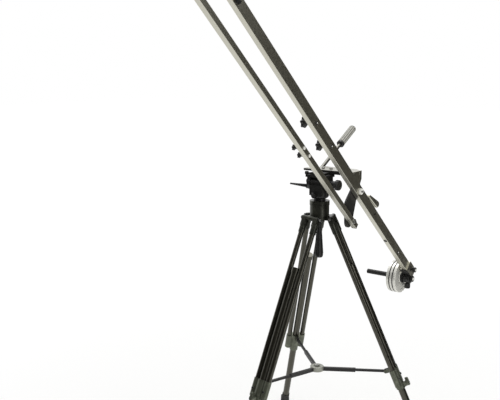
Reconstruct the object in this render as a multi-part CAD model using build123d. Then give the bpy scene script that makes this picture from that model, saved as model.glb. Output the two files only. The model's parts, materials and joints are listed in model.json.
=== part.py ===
from build123d import *
import math
import os

# Small camera crane on a video tripod, in millimetres.
# Origin on the floor under the tripod axis, Z up, the camera end points to -Y.

# Clearances
FIT = 0.06
GAP = 0.3

# Tripod legs, measured down each leg from its shoulder hinge
LEG_AZIMUTHS = {"a": -99.6, "b": 20.4, "c": 140.4}
LEG_ANGLE = 23.5
SHOULDER_R = 60.0
SHOULDER_Z = 1216.0
BARREL_R = 12.0
HINGE_PIN_R = 5.0
LUG_W = 44.0
YOKE_TOP = 24.0
SOCKET_L = 51.0
SOCKET_WALL = 3.0
TUBE_R = 12.5
TUBE_WALL = 1.7
CASTING_TOP = 795.0
CASTING_H = 86.0
CASTING_WALL = 3.5
SLEEVE_L = 22.0
SLEEVE_WALL = 5.0
SHANK_R = 17.5
SHANK_WALL = 2.0
SHANK_TOP = 250.0
GUIDE_LIP = 3.0
GUIDE_GAP = 3.0
GUIDE_L = 27.0
LEVER_L = 34.0
LEVER_R = 12.0
LEVER_T = 15.0
FOOT_R = 25.0
FOOT_H = 40.0

# Spreader
PIN_DOWN = 801.0
PIN_IN = 38.6
PIN_R = 3.5
ARM_SLOPE = 4.6
ARM_L = 174.0
ARM_LAP = 24.0
ARM_W = 11.0
CHANNEL_WALL = 1.5
HUB_R = 34.0
HUB_H = 22.0

# Bowl and fluid head, stacked from the shoulders up
BOWL_H = 65.0
BOWL_R = 48.5
BALL_R = 37.5
BALL_FLANGE = 18.0
TIE_R = 5.0
TIE_L = 145.0
PAN_R = 29.0
PAN_H = 12.0
DRUM_R = 44.0
TILT_RISE = 82.0
AXLE_R = 8.0
TRUNNION_W = 76.0
SIDE_GAP = 0.4
SIDE_T = 17.6
PLATE_RISE = 54.0
CRADLE_T = 12.0
CRADLE_D = 84.0
QUICK_T = 10.0
QUICK_W = 80.0
QUICK_FRONT = 32.0
QUICK_REAR = 104.0
STUD_R = 4.0
DRAG_R = 25.0
DRAG_T = 18.0
TILT_LOCK_DROP = 18.0
LEVER_REACH = 76.0
PAN_LOCK_R = 11.0
HANDLE_BACK = 40.0
HANDLE_ANGLE = 30.5
HANDLE_L = 463.0
HANDLE_R = 9.0
ROSETTE_R = 16.0
ROSETTE_T = 10.0
GRIP_L = 150.0
GRIP_R = 18.0

# Base plate and fulcrum plate of the crane
BASE_T = 10.0
BASE_FRONT = 21.0
BASE_D = 120.0
BASE_LEFT = 60.0
TONGUE_L = 52.0
TONGUE_D = 40.0
LIP_T = 5.0
LIP_DROP = 8.0
FLANGE_T = 8.0
FLANGE_H = 40.0
CHEEK_D = 84.0
CHEEK_T = 10.0
CHEEK_GAP = 2.0
CHEEK_RISE = 11.0
CHEEK_FOOT_R = 30.0
PIVOT_Y = 45.0
PIVOT_DROP = 80.0
PIVOT_BACK = 49.5
PIVOT_STEP = 139.0
BOLT_R = 6.0

# Boom, measured along the bars from the upper pivot
BOOM_ANGLE = 41.4
BAR_X = 183.0
UPPER_H = 50.8
UPPER_W = 25.4
UPPER_WALL = 2.0
LOW_BAR = 25.4
LOW_WALL = 1.6
FRONT_LENGTH = 1500.0
REAR_LENGTH = 760.0
END_MARGIN = 37.0
SPLICE = 440.0
KNOB_SPREAD = 83.0
LOW_SPLICE = 500.5
LOW_KNOB_SPREAD = 27.5
PLUG_PAST = 37.0
PLUG_WALL = 3.0
TOP_KNOB_BACK = 105.0
TOP_LEVER_L = 92.0
TOP_LEVER_T = 24.0
INSERT_AHEAD = 192.0
STAY_BEHIND = 262.0
CAP_T = 4.0

# Counterweights
ROD_R = 13.0
ROD_FAR = 245.0
ROD_NEAR = 31.0
ROD_BEHIND = 38.3
ROD_BELOW = 10.6
HANGER_WALL = 6.3
HANGER_LAP = 38.0
EYE_WALL = 12.0
ROD_KNOB_R = 16.0
PLATE_R = 86.0
PLATE_T = 18.0
PLATE_COUNT = 3
COLLAR_R = 30.0
COLLAR_T = 11.0

# Camera end
WEB_AHEAD = 58.0
WEB_T = 8.0
STAGE_W = 100.0
STAGE_L = 110.0
STAGE_T = 8.0
SCREW_HOLE_R = 5.0

# Places worked out from the sizes above
TUBE_X = SHANK_R + GUIDE_LIP + GUIDE_GAP + TUBE_R
YOKE_HALF = TUBE_X + TUBE_R
CASTING_END = CASTING_TOP + CASTING_H
BOWL_TOP = SHOULDER_Z + BOWL_H
HEAD_FOOT = BOWL_TOP + BALL_FLANGE
DRUM_Z = HEAD_FOOT + PAN_H + GAP
TILT_Z = HEAD_FOOT + TILT_RISE
PLATE_Z = TILT_Z + PLATE_RISE
QUICK_Z = PLATE_Z - QUICK_T
CRADLE_Z = QUICK_Z - CRADLE_T
CRADLE_HALF = TRUNNION_W / 2 + SIDE_GAP + SIDE_T
UPPER_PIVOT = (PIVOT_Y, PLATE_Z - PIVOT_DROP)
LOWER_PIVOT = (PIVOT_Y - PIVOT_BACK, PLATE_Z - PIVOT_DROP - PIVOT_STEP)
HALF_W = UPPER_W / 2
LOW_HALF = LOW_BAR / 2

PARTS = {}


def put(name, *shapes):
    PARTS[name] = shapes[0] if len(shapes) == 1 else Compound(children=list(shapes))


def cyl(p, q, r, r2=None):
    run = Vector(*q) - Vector(*p)
    body = Cylinder(r, run.length) if r2 is None else Cone(r, r2, run.length)
    return Plane(origin=p, z_dir=run) * (Pos(0, 0, run.length / 2) * body)


def box(p, q):
    size = [abs(b - a) for a, b in zip(p, q)]
    middle = [(a + b) / 2 for a, b in zip(p, q)]
    return Pos(*middle) * Box(*size)


def turned(*points):
    # a turned solid about the local Z axis from (radius, height) points
    return revolve(make_face(Plane.XZ * Polyline(*points, close=True)), Axis.Z)


def side_plate(x, thick, *outlines):
    # a flat plate across X, the hull of outlines drawn in Y and Z
    edges = [e for o in outlines for e in o.edges()]
    frame = Plane(origin=(x, 0, 0), x_dir=(0, 1, 0), z_dir=(1, 0, 0))
    return extrude(frame * make_hull(edges), thick)


def knob(r, h, lobes):
    # a straight grip knob standing on local Z = 0
    body = Pos(0, 0, h / 2) * Cylinder(r, h)
    body = chamfer(body.edges().group_by(Axis.Z)[-1], h * 0.12)
    for place in PolarLocations(r + r / lobes, lobes):
        body -= Pos(0, 0, h / 2) * place * Cylinder(2.2 * r / lobes, h + 2)
    return body


def flared_knob(r, h):
    # a clamping knob with three wings that widen away from the work
    body = turned((0, 0), (r * 0.4, 0), (r * 0.45, h * 0.35), (r, h * 0.75), (r, h), (0, h))
    for place in PolarLocations(r * 1.15, 6):
        body -= Pos(0, 0, h / 2) * place * Cylinder(r * 0.42, h + 2)
    return body


# The boom frame: local X runs to the camera end, Y square to the bars, Z to the far side
TURN = math.radians(BOOM_ANGLE)
FRONT_DIR = (0, -math.cos(TURN), math.sin(TURN))
BOOM = Plane(origin=(BAR_X, *UPPER_PIVOT), x_dir=FRONT_DIR, z_dir=(-1, 0, 0))


def to_boom(point):
    dy = point[0] - UPPER_PIVOT[0]
    dz = point[1] - UPPER_PIVOT[1]
    a = dy * FRONT_DIR[1] + dz * FRONT_DIR[2]
    b = dy * FRONT_DIR[2] - dz * FRONT_DIR[1]
    return a, b


def bar_tube(a0, a1, b, h, w, wall):
    outer = box((a0, b - h / 2, -w / 2), (a1, b + h / 2, w / 2))
    outer = fillet(outer.edges().filter_by(Axis.X), wall)
    inner = box((a0 - 1, b - h / 2 + wall, -w / 2 + wall), (a1 + 1, b + h / 2 - wall, w / 2 - wall))
    return outer - inner


def cross_hole(a, b, r):
    reach = UPPER_W + LOW_BAR
    return cyl((a, b, -reach), (a, b, reach), r)


LOW_A, LOW_B = to_boom(LOWER_PIVOT)
FRONT_END = FRONT_LENGTH + END_MARGIN
LOW_REAR = LOW_A - END_MARGIN
LOW_FRONT = LOW_A + FRONT_LENGTH + END_MARGIN
KNOB_PLACES = (SPLICE - KNOB_SPREAD, SPLICE + KNOB_SPREAD)
LOW_KNOB_PLACES = (LOW_SPLICE - LOW_KNOB_SPREAD, LOW_SPLICE + LOW_KNOB_SPREAD)

# Upper bar in two sections, the front one with a hollow plug inside the rear one
rear = bar_tube(-REAR_LENGTH, SPLICE, 0, UPPER_H, UPPER_W, UPPER_WALL)
front = bar_tube(SPLICE, FRONT_END, 0, UPPER_H, UPPER_W, UPPER_WALL)
plug_half = KNOB_SPREAD + PLUG_PAST
inside_h = UPPER_H - 2 * UPPER_WALL
inside_w = UPPER_W - 2 * UPPER_WALL
front += bar_tube(SPLICE - plug_half, SPLICE + plug_half, 0, inside_h, inside_w, PLUG_WALL)
for a in KNOB_PLACES:
    rear -= cross_hole(a, 0, STUD_R + FIT)
    front -= cross_hole(a, 0, STUD_R + FIT)
rear -= cross_hole(0, 0, BOLT_R + FIT)
front -= cross_hole(FRONT_LENGTH, 0, BOLT_R + FIT)
rear -= cyl((-TOP_KNOB_BACK, 0, 0), (-TOP_KNOB_BACK, UPPER_H, 0), STUD_R + FIT)
put("upper_rear_bar", BOOM * rear)
put("upper_front_bar", BOOM * front)

# Bolt heads and a threaded insert on the near face of the upper bar
near = -HALF_W
insert_a = INSERT_AHEAD - REAR_LENGTH
ring = cyl((insert_a, -5, near - 1.5), (insert_a, -5, near), 9)
ring -= cyl((insert_a, -5, near - 2), (insert_a, -5, near - 0.5), 5)
stop_a = -TOP_KNOB_BACK - 96
stop_bolt = cyl((stop_a, 0, near - 2), (stop_a, 0, near), 4.5)
stay_a = FRONT_LENGTH - STAY_BEHIND
stay_bolt = cyl((stay_a, -3, near - 6), (stay_a, -3, near), 15)
put("bar_bolts", *[BOOM * b for b in (ring, stop_bolt, stay_bolt)])
cap = box((FRONT_END, -UPPER_H / 2, -HALF_W), (FRONT_END + CAP_T, UPPER_H / 2, HALF_W))
put("upper_end_cap", BOOM * fillet(cap.edges().filter_by(Axis.X), UPPER_WALL))


def clamp_knob(a, b, half, stem, r, h):
    # a stud through the bar with a round head on the near side and a knob on the far side
    stud = cyl((a, b, -half - 2), (a, b, half + stem + h / 2), STUD_R)
    head = cyl((a, b, -half - 4), (a, b, -half - GAP), STUD_R + 2)
    washer = cyl((a, b, half + GAP), (a, b, half + stem), STUD_R + 2.5)
    grip = Pos(a, b, half + stem - 1) * flared_knob(r, h)
    return BOOM * (stud + head + washer + grip)


for i, a in enumerate(KNOB_PLACES):
    put(f"upper_knob_{i + 1}", clamp_knob(a, 0, HALF_W, 12, 25, 32))

# Bat-shaped clamping lever on top of the upper bar
top_b = UPPER_H / 2 + GAP
lever_root = Pos(0, 14) * Rot(0, 0, 180) * Circle(9)
lever_tip = Pos(-TOP_LEVER_L, 29) * Circle(17)
top = extrude(make_hull(lever_root.edges() + lever_tip.edges()), TOP_LEVER_T / 2, both=True)
top = fillet(top.edges().filter_by(Axis.Z, reverse=True), 6)
top += cyl((0, 0, 0), (0, 14, 0), TOP_LEVER_T / 2 - 2)
top += cyl((0, -UPPER_H * 0.8, 0), (0, 1, 0), STUD_R)
put("top_knob", BOOM * (Pos(-TOP_KNOB_BACK, top_b, 0) * top))

# Lower bar: two square tubes joined by an inner plug
lower = bar_tube(LOW_REAR, LOW_FRONT, LOW_B, LOW_BAR, LOW_BAR, LOW_WALL)
lower -= box((LOW_SPLICE - 0.4, LOW_B - LOW_BAR, -LOW_BAR), (LOW_SPLICE + 0.4, LOW_B + LOW_BAR, LOW_BAR))
low_in = LOW_HALF - LOW_WALL
low_plug = LOW_KNOB_SPREAD + PLUG_PAST
low_plug_0, low_plug_1 = LOW_SPLICE - low_plug, LOW_SPLICE + low_plug
lower += box((low_plug_0, LOW_B - low_in, -low_in), (low_plug_1, LOW_B + low_in, low_in))
for a in LOW_KNOB_PLACES:
    lower -= cross_hole(a, LOW_B, STUD_R + FIT)
for a in (LOW_A, LOW_A + FRONT_LENGTH):
    lower -= cross_hole(a, LOW_B, BOLT_R + FIT)
put("lower_bar", BOOM * lower)
low_caps = []
for a0, a1 in ((LOW_REAR - CAP_T, LOW_REAR), (LOW_FRONT, LOW_FRONT + CAP_T)):
    low_cap = box((a0, LOW_B - LOW_HALF, -LOW_HALF), (a1, LOW_B + LOW_HALF, LOW_HALF))
    low_caps.append(BOOM * fillet(low_cap.edges().filter_by(Axis.X), LOW_WALL))
put("lower_end_caps", *low_caps)
for i, a in enumerate(LOW_KNOB_PLACES):
    put(f"lower_knob_{i + 1}", clamp_knob(a, LOW_B, LOW_HALF, 10, 13, 20))

# Fulcrum plate on the far side of the bars, with a spacer boss and a bolt at each pivot
PLATE_FACE = BAR_X - max(HALF_W, LOW_HALF) - CHEEK_GAP
PLATE_BACK = PLATE_FACE - CHEEK_T
PIVOTS = [(*UPPER_PIVOT, HALF_W), (*LOWER_PIVOT, LOW_HALF)]


def pivot_plate(pivots, plate):
    # bosses and bolt holes at the pivots of a flat plate
    for y, z, half in pivots:
        plate += cyl((PLATE_FACE - 1, y, z), (BAR_X - half - GAP, y, z), BOLT_R + 9)
        plate -= cyl((PLATE_BACK - 5, y, z), (BAR_X, y, z), BOLT_R)
    return plate


def pivot_bolts(pivots):
    out = []
    for y, z, half in pivots:
        face = BAR_X + half
        bolt = cyl((PLATE_BACK - 9, y, z), (face + 9, y, z), BOLT_R)
        bolt += cyl((PLATE_BACK - 7, y, z), (PLATE_BACK, y, z), BOLT_R + 4)
        bolt += cyl((face + GAP, y, z), (face + 2.5, y, z), BOLT_R + 8)
        bolt += cyl((face + 2, y, z), (face + 8, y, z), BOLT_R + 2)
        out.append(bolt)
    return out


cheek_foot = Pos(*LOWER_PIVOT) * Circle(CHEEK_FOOT_R)
CHEEK_MID = BASE_FRONT + CHEEK_D / 2
cheek_top = Pos(CHEEK_MID, PLATE_Z + CHEEK_RISE - 20) * Rectangle(CHEEK_D, 40)
cheek_waist = Pos(*UPPER_PIVOT) * Circle(CHEEK_FOOT_R - 2)
cheek_belly = Pos(LOWER_PIVOT[0] - 5, LOWER_PIVOT[1] + PIVOT_STEP * 0.6) * Circle(CHEEK_FOOT_R - 2)
cheek = side_plate(PLATE_BACK, CHEEK_T, cheek_foot, cheek_belly, cheek_waist)
cheek += side_plate(PLATE_BACK, CHEEK_T, cheek_waist, cheek_top)
put("fulcrum_plate", pivot_plate(PIVOTS, cheek))

# Base plate on the head: a tongue to the left, a lip in front, a flange bolted to the fulcrum plate
base_left = -BASE_LEFT - TONGUE_L
base_top = PLATE_Z + BASE_T
base_back = BASE_FRONT + BASE_D
cheek_back = BASE_FRONT + CHEEK_D
tongue_back = BASE_FRONT + TONGUE_D
flange_x = PLATE_BACK - FLANGE_T
outline = Polyline(
    (base_left, BASE_FRONT), (PLATE_BACK, BASE_FRONT), (PLATE_BACK, cheek_back),
    (PLATE_BACK - base_back + cheek_back, base_back), (-BASE_LEFT, base_back), (-BASE_LEFT, tongue_back),
    (base_left, tongue_back), close=True,
)
base = extrude(Plane.XY.offset(PLATE_Z) * make_face(outline), BASE_T)
base = fillet(base.edges().filter_by(Axis.Z).filter_by_position(Axis.X, base_left - 1, flange_x), 8)
base += box((QUICK_W / 2 + 2, BASE_FRONT, PLATE_Z - LIP_DROP), (PLATE_BACK, BASE_FRONT + LIP_T, base_top - 1))
base += box((flange_x, BASE_FRONT, PLATE_Z - FLANGE_H), (PLATE_BACK, cheek_back, base_top))
put("jib_base", base)
screws = []
for y in (CHEEK_MID - CHEEK_D * 0.32, CHEEK_MID + CHEEK_D * 0.32):
    z = PLATE_Z - FLANGE_H / 2 + 2
    screws.append(cyl((flange_x - 6, y, z), (flange_x, y, z), 7))
    screws.append(cyl((PLATE_FACE, y, PLATE_Z - 2), (PLATE_FACE + CHEEK_GAP - 0.4, y, PLATE_Z - 2), 7))
for x in (-QUICK_W * 0.28, QUICK_W * 0.28):
    y = BASE_FRONT + CHEEK_D / 2
    screws.append(cyl((x, y, base_top), (x, y, base_top + 6), 8))
put("fulcrum_bolts", *pivot_bolts(PIVOTS), *screws)

# Counterweight end: a sleeve on the bar with an eye that holds the weight rod
REAR_END = -REAR_LENGTH
ROD_A = REAR_END - ROD_BEHIND
ROD_B = -UPPER_H / 2 - ROD_BELOW
hang_h = UPPER_H / 2 + HANGER_WALL
hang_w = HALF_W + HANGER_WALL
eye_r = ROD_R + EYE_WALL
KNOB_A = REAR_END - 14
KNOB_B = UPPER_H * 0.16
hanger = box((REAR_END - 27, -hang_h, -hang_w), (REAR_END + HANGER_LAP, hang_h, hang_w))
hanger = fillet(hanger.edges().filter_by(Axis.Z), 5)
hanger += cyl((ROD_A, ROD_B, -hang_w), (ROD_A, ROD_B, hang_w), eye_r)
hanger += box((ROD_A - ROD_R, ROD_B - ROD_R + 1, -hang_w), (REAR_END - 12, hang_h - 20, hang_w))
hanger -= box((REAR_END, -UPPER_H / 2, -HALF_W), (REAR_END + 2 * HANGER_LAP, UPPER_H / 2, HALF_W))
hanger -= cross_hole(ROD_A, ROD_B, ROD_R)
hanger -= cyl((KNOB_A, KNOB_B, -hang_w - 5), (KNOB_A, KNOB_B, 0), STUD_R + FIT)
# Weight frame: local Z runs to the far side along the rod from the middle of the bar, Y down
WEIGHT = Plane(origin=(BOOM * Pos(ROD_A, ROD_B, 0)).position, x_dir=(0, 1, 0), z_dir=(-1, 0, 0))
hanger = BOOM * hanger - WEIGHT * cyl((0, ROD_R, 0), (0, 2 * eye_r, 0), STUD_R + FIT)
put("weight_hanger", hanger)
screw_knob = cyl((0, 0, -12), (0, 0, 2), STUD_R) + cyl((0, 0, GAP), (0, 0, 8), STUD_R + 2)
screw_knob += Pos(0, 0, 6) * knob(14, 16, 6)
put("hanger_knob", BOOM * (Pos(KNOB_A, KNOB_B, -hang_w) * Rot(180, 0, 0) * screw_knob))
clamp = cyl((0, 0, -EYE_WALL + 1), (0, 0, 6), STUD_R) + cyl((0, 0, GAP), (0, 0, 6), STUD_R + 4)
clamp += Pos(0, 0, 5) * knob(ROD_KNOB_R, 26, 5)
put("rod_knob", WEIGHT * (Pos(0, eye_r, 0) * Rot(-90, 0, 0) * clamp))


# Weights on the rod, in the weight frame
rod = cyl((0, 0, -ROD_NEAR), (0, 0, ROD_FAR), ROD_R)
rod += cyl((0, 0, -ROD_NEAR - 1), (0, 0, -ROD_NEAR + 7), ROD_R + 3)
put("weight_rod", WEIGHT * chamfer(rod.edges().group_by(Axis.Z)[-1], 1.5))
collar_0 = hang_w + 2
collar_1 = collar_0 + COLLAR_T
collar_mid = (collar_0 + collar_1) / 2
collar = cyl((0, 0, collar_0), (0, 0, collar_1), COLLAR_R) - cyl((0, 0, 0), (0, 0, 2 * collar_1), ROD_R)
collar -= cyl((0, ROD_R - 2, collar_mid), (0, COLLAR_R + 5, collar_mid), STUD_R - 1 + FIT)
put("weight_collar", WEIGHT * collar)
thumb = cyl((0, 0, 0), (0, 0, COLLAR_R - ROD_R), STUD_R - 1)
thumb += Pos(0, 0, COLLAR_R - ROD_R + 1) * (cyl((0, 0, -2), (0, 0, 1), STUD_R - 1) + knob(5.4, 14, 6))
put("collar_screw", WEIGHT * (Pos(0, ROD_R + 1, collar_mid) * Rot(-90, 0, 0) * thumb))
bore = ROD_R + 0.08
face = PLATE_T
plates = []
for i in range(PLATE_COUNT):
    disc = turned(
        (bore, 0), (COLLAR_R, 0), (COLLAR_R + 2, 3), (PLATE_R - 20, 3), (PLATE_R - 17, 0),
        (PLATE_R - 2, 0), (PLATE_R, 2), (PLATE_R, face - 2), (PLATE_R - 2, face), (PLATE_R - 17, face),
        (PLATE_R - 20, face - 3), (COLLAR_R + 2, face - 3), (COLLAR_R, face), (bore, face),
    )
    plates.append(WEIGHT * (Pos(0, 0, collar_1 + 1 + (PLATE_T + 0.5) * i) * disc))
put("weight_plates", *plates)

# Camera end: bracket, bolts and platform
ahead = (FRONT_LENGTH * FRONT_DIR[1], FRONT_LENGTH * FRONT_DIR[2])
FRONT_PIVOTS = [(y + ahead[0], z + ahead[1], half) for y, z, half in PIVOTS]
web_y = FRONT_PIVOTS[1][0] - WEB_AHEAD
web_lo = FRONT_PIVOTS[1][1] - 30
web_hi = FRONT_PIVOTS[0][1] + 20
outline = [Pos(y, z) * Circle(24) for y, z, half in FRONT_PIVOTS]
outline.append(Pos(web_y + WEB_T / 2, (web_lo + web_hi) / 2) * Rectangle(WEB_T, web_hi - web_lo))
web = box((PLATE_BACK, web_y, web_lo), (BAR_X + HALF_W + 12, web_y + WEB_T, web_hi))
bracket = pivot_plate(FRONT_PIVOTS, side_plate(PLATE_BACK, CHEEK_T, *outline))
put("front_bracket", bracket + web)
put("front_bolts", *pivot_bolts(FRONT_PIVOTS))
STAGE_Z = web_lo + 10
stage_y = web_y - 8
stage = box((-STAGE_W / 2, stage_y - STAGE_L, 0), (STAGE_W / 2, stage_y, STAGE_T))
stage = Pos(BAR_X, 0, STAGE_Z) * stage
stage = fillet(stage.edges().filter_by(Axis.Z).group_by(Axis.Y)[0], 12)
stage += box((BAR_X - 24, stage_y, STAGE_Z - 10), (BAR_X + 24, web_y, STAGE_Z + 60))
hole_y = stage_y - STAGE_L * 0.55
stage -= cyl((BAR_X, hole_y, STAGE_Z - 5), (BAR_X, hole_y, STAGE_Z + STAGE_T + 5), SCREW_HOLE_R)
put("camera_platform", stage)

# Tripod top: bowl with a rim and three shoulder lugs
bowl = turned(
    (0, SHOULDER_Z - 10), (BOWL_R - 3, SHOULDER_Z - 10), (BOWL_R - 1.5, SHOULDER_Z + 10),
    (BOWL_R - 1.5, BOWL_TOP - 5), (BOWL_R, BOWL_TOP - 4), (BOWL_R, BOWL_TOP), (0, BOWL_TOP),
)
hinge_bolts = []
lug_half = LUG_W / 2
for az in LEG_AZIMUTHS.values():
    lug = box((SHOULDER_R / 2, -lug_half, -BARREL_R), (SHOULDER_R, lug_half, BARREL_R))
    lug = Pos(0, 0, SHOULDER_Z) * lug
    lug += cyl((SHOULDER_R, -lug_half, SHOULDER_Z), (SHOULDER_R, lug_half, SHOULDER_Z), BARREL_R)
    lug -= cyl((SHOULDER_R, -LUG_W, SHOULDER_Z), (SHOULDER_R, LUG_W, SHOULDER_Z), HINGE_PIN_R)
    bowl += Rot(0, 0, az) * lug
    pin_end = YOKE_HALF + 1
    pin = cyl((SHOULDER_R, -pin_end, SHOULDER_Z), (SHOULDER_R, pin_end, SHOULDER_Z), HINGE_PIN_R)
    for s in (-1, 1):
        cap_in, cap_out = s * (YOKE_HALF + GAP), s * (YOKE_HALF + 9)
        pin += cyl((SHOULDER_R, cap_in, SHOULDER_Z), (SHOULDER_R, cap_out, SHOULDER_Z), BARREL_R - 2)
    hinge_bolts.append(Rot(0, 0, az) * pin)
bowl -= Pos(0, 0, BOWL_TOP) * Sphere(BALL_R)
bowl -= Pos(0, 0, SHOULDER_Z) * Cylinder(TIE_R + 11, 2 * BOWL_H)
put("tripod_bowl", bowl)
put("hinge_bolts", *hinge_bolts)

# Half ball under the head, and the tie-down that pulls it into the bowl
ball = Sphere(BALL_R) - Pos(0, 0, BALL_R) * Box(4 * BALL_R, 4 * BALL_R, 2 * BALL_R)
ball += turned((0, 0), (BOWL_R - 1, 0), (BOWL_R, 1), (BOWL_R, BALL_FLANGE), (0, BALL_FLANGE))
ball = Pos(0, 0, BOWL_TOP) * ball
ball -= cyl((0, 0, BOWL_TOP - 2 * BALL_R), (0, 0, BOWL_TOP - 9), TIE_R + FIT)
put("half_ball", ball)
TIE_Z = SHOULDER_Z - 10 - GAP
tie = turned(
    (0, BOWL_H - 4), (TIE_R, BOWL_H - 4), (TIE_R, 0), (25, 0), (25, -9), (9, -15), (9, -40), (11, -44),
    (21, -TIE_L - 35), (18, -TIE_L - 44), (0, -TIE_L - 44),
)
put("tie_down", Pos(0, 0, TIE_Z) * tie)

# Legs
lean = math.radians(LEG_ANGLE)
SPREAD_R = SHOULDER_R + PIN_DOWN * math.sin(lean) - PIN_IN * math.cos(lean)
SPREAD_Z = SHOULDER_Z - PIN_DOWN * math.cos(lean) - PIN_IN * math.sin(lean)
ARM_BARREL = ARM_W / 2 + 1
for tag, az in LEG_AZIMUTHS.items():
    out = (math.cos(math.radians(az)), math.sin(math.radians(az)))
    up = (-out[0] * math.sin(lean), -out[1] * math.sin(lean), math.cos(lean))
    hip = (out[0] * SHOULDER_R, out[1] * SHOULDER_R, SHOULDER_Z)
    # local X across the leg, Y inward, Z up along the leg from the hinge
    leg = Plane(origin=hip, x_dir=(-out[1], out[0], 0), z_dir=up)

    # Forked top: one hinged end with a socket for each of the two tubes
    ear_in = lug_half + SIDE_GAP
    ends = []
    tubes = []
    for s in (-1, 1):
        yoke = box((s * ear_in, -BARREL_R, -YOKE_TOP - 16), (s * YOKE_HALF, BARREL_R, 0))
        yoke += cyl((s * ear_in, 0, 0), (s * YOKE_HALF, 0, 0), BARREL_R)
        socket_r = TUBE_R + SOCKET_WALL
        yoke += cyl((s * TUBE_X, 0, -YOKE_TOP - SOCKET_L), (s * TUBE_X, 0, -YOKE_TOP), socket_r)
        tube = cyl((s * TUBE_X, 0, -CASTING_END + 12), (s * TUBE_X, 0, -YOKE_TOP - 10), TUBE_R)
        yoke -= tube
        hollow = cyl((s * TUBE_X, 0, -CASTING_END), (s * TUBE_X, 0, 0), TUBE_R - TUBE_WALL)
        tubes.append(leg * (tube - hollow))
        yoke -= cyl((-2 * YOKE_HALF, 0, 0), (2 * YOKE_HALF, 0, 0), HINGE_PIN_R + FIT)
        ends.append(leg * yoke)
    put(f"leg_top_{tag}", *ends)
    put(f"leg_tubes_{tag}", *tubes)

    # Casting at the foot of the tubes: sleeve for the lower tube, clamp and spreader ears
    boss_r = TUBE_R + CASTING_WALL
    casting = cyl((0, 0, -CASTING_END - SLEEVE_L), (0, 0, -CASTING_TOP), SHANK_R + SLEEVE_WALL)
    casting += box((-TUBE_X, -TUBE_R + 1.5, -CASTING_END), (TUBE_X, TUBE_R - 1.5, -CASTING_TOP))
    for s in (-1, 1):
        casting += cyl((s * TUBE_X, 0, -CASTING_END), (s * TUBE_X, 0, -CASTING_TOP), boss_r)
        casting -= cyl((s * TUBE_X, 0, -CASTING_END + 12), (s * TUBE_X, 0, 0), TUBE_R)
        ear_0, ear_1 = s * (ARM_BARREL + GAP), s * (ARM_BARREL + 5)
        casting += box((ear_0, TUBE_R - 2, -PIN_DOWN - 9), (ear_1, PIN_IN, -PIN_DOWN + 9))
        casting += cyl((ear_0, PIN_IN, -PIN_DOWN), (ear_1, PIN_IN, -PIN_DOWN), 9)
    casting += cyl((-ARM_BARREL - 8, PIN_IN, -PIN_DOWN), (ARM_BARREL + 8, PIN_IN, -PIN_DOWN), PIN_R)
    clamp_y = -SHANK_R - SLEEVE_WALL - 9.5
    clamp_z = -CASTING_END - SLEEVE_L / 3
    casting += box((-9, clamp_y, -CASTING_END - SLEEVE_L + 4), (9, -SHANK_R - 1, -CASTING_END + 4))
    casting -= cyl((0, 0, -2 * CASTING_END), (0, 0, 0), SHANK_R + 0.08)
    casting -= cyl((0, 2 * clamp_y, clamp_z), (0, -SHANK_R - 4, clamp_z), STUD_R + FIT)
    put(f"leg_casting_{tag}", leg * casting)

    # Clamping lever, turned up along the leg when it is closed
    lever = cyl((0, clamp_y - 8, clamp_z), (0, -SHANK_R - 5, clamp_z), STUD_R)
    lever += cyl((0, clamp_y - 10, clamp_z), (0, clamp_y - GAP, clamp_z), LEVER_R - 2)
    wing = Plane(origin=(0, clamp_y - 3, 0), x_dir=(1, 0, 0), z_dir=(0, -1, 0)) * Pos(0, clamp_z, 0)
    wing_end = Pos(0, LEVER_L - LEVER_R) * Circle(LEVER_R - 4)
    profile = make_hull((Rot(0, 0, 90) * Circle(LEVER_R)).edges() + wing_end.edges())
    grip = extrude(profile, LEVER_T)
    lever += wing * chamfer(grip.edges().group_by(Axis.Z)[-1], 3)
    put(f"leg_lever_{tag}", leg * lever)

    # Lower tube with its guide, and a rubber foot flat on the floor
    end = (SHOULDER_Z - 10) / math.cos(lean)
    shank = cyl((0, 0, -end), (0, 0, -SHANK_TOP), SHANK_R)
    shank += cyl((0, 0, -SHANK_TOP - GUIDE_L + 3), (0, 0, -SHANK_TOP + 3), SHANK_R + GUIDE_LIP)
    shank -= cyl((0, 0, -end - 1), (0, 0, -SHANK_TOP), SHANK_R - SHANK_WALL)
    ground = Pos(0, 0, -FOOT_H) * Box(4 * SHOULDER_Z, 4 * SHOULDER_Z, 2 * FOOT_H)
    put(f"leg_lower_{tag}", (leg * shank) - ground)
    foot_r = SHOULDER_R + (SHOULDER_Z - 12) * math.tan(lean)
    foot = Pos(out[0] * foot_r, out[1] * foot_r, FOOT_H / 2) * Cone(FOOT_R, FOOT_R - 2, FOOT_H)
    foot = chamfer(foot.edges().group_by(Axis.Z)[-1], 3)
    foot += leg * cyl((0, 0, -end + 12), (0, 0, -end + FOOT_H + 12), SHANK_R + 3)
    put(f"foot_{tag}", foot - leg * cyl((0, 0, -end), (0, 0, -end + 5 * FOOT_H), SHANK_R))

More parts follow.
